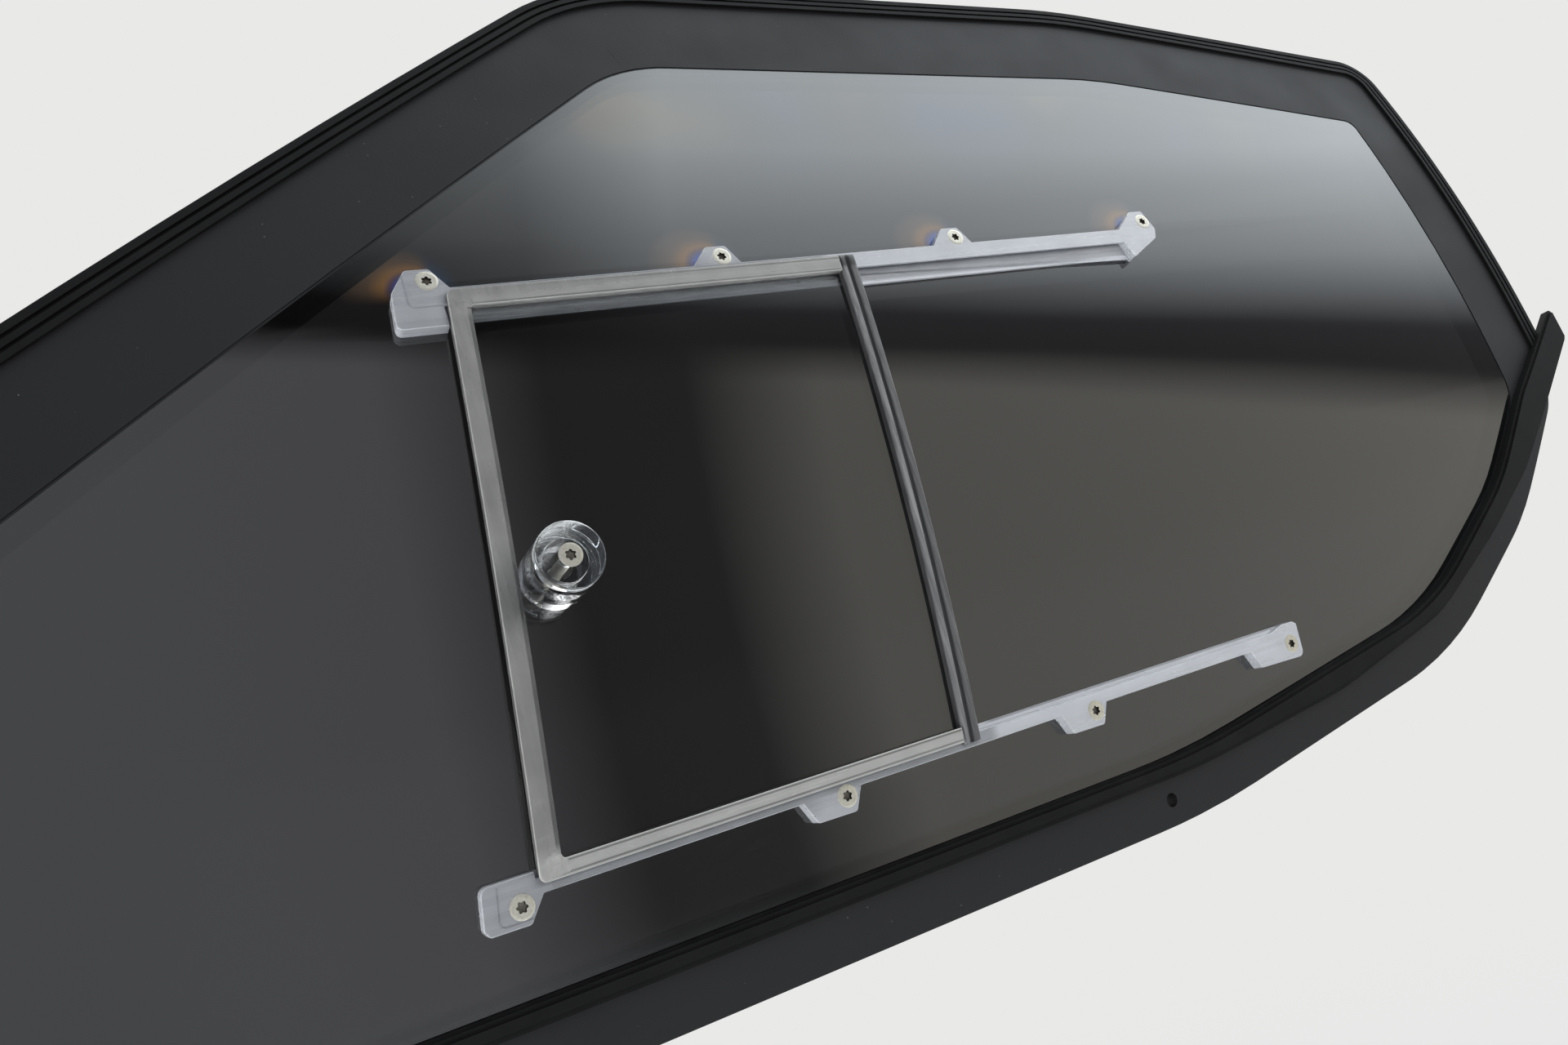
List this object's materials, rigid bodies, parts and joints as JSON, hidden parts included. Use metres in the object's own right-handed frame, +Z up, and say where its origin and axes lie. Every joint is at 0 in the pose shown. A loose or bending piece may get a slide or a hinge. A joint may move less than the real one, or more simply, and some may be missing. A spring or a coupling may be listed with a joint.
{
  "type": "race car side window with sliding hatch",
  "caption": "Bent polycarbonate side window in a dark composite frame, with rubber seals and a small hatch that slides rearwards on two rails by a clear knob.",
  "frame": {"origin": "midway between the two middle sill bolt holes, on the outer face of the frame's sill", "axes": "+X rearwards along the rails, +Y into the car, +Z up"},
  "size_m": [1.173, 0.0904, 0.4958],
  "materials": {
    "frame_composite": "matt black paint on a moulded composite frame",
    "pane_sheet": "hard-coated polycarbonate sheet, smoke-tinted in place of the dark cabin behind it",
    "adhesive": "black polyurethane adhesive",
    "seal_rubber": "matt black extruded rubber",
    "rail_plastic": "satin moulded translucent grey plastic",
    "stile_rubber": "dark grey ridged plastic profile",
    "knob_acrylic": "polished clear acrylic",
    "screw_metal": "pale gold titanium",
    "nut_metal": "zinc-plated steel"
  },
  "bodies": {
    "window": {"frame_sill": "frame_composite", "frame_post": "frame_composite", "frame_roof": "frame_composite", "frame_pillar": "frame_composite", "main_pane": "pane_sheet", "bond_bead": "adhesive", "seal_post": "seal_rubber", "seal_roof": "seal_rubber", "seal_pillar": "seal_rubber", "waist_seal": "seal_rubber", "upper_rail": "rail_plastic", "lower_rail": "rail_plastic", "upper_screw_1": "screw_metal", "upper_nut_1": "nut_metal", "upper_screw_2": "screw_metal", "upper_nut_2": "nut_metal", "upper_screw_3": "screw_metal", "upper_nut_3": "nut_metal", "upper_screw_4": "screw_metal", "upper_nut_4": "nut_metal", "lower_screw_1": "screw_metal", "lower_nut_1": "nut_metal", "lower_screw_2": "screw_metal", "lower_nut_2": "nut_metal", "lower_screw_3": "screw_metal", "lower_nut_3": "nut_metal", "lower_screw_4": "screw_metal", "lower_nut_4": "nut_metal"},
    "hatch": {"slider_pane": "pane_sheet", "slider_frame": "rail_plastic", "rear_stile": "stile_rubber", "knob_spacer": "knob_acrylic", "knob_head": "knob_acrylic", "knob_screw": "screw_metal", "knob_backing": "screw_metal"}
  },
  "joints": [
    {"name": "hatch_slide", "type": "slide", "parent": "window", "child": "hatch", "axis": [1, 0, 0], "range_m": [0, 0.175]}
  ]
}
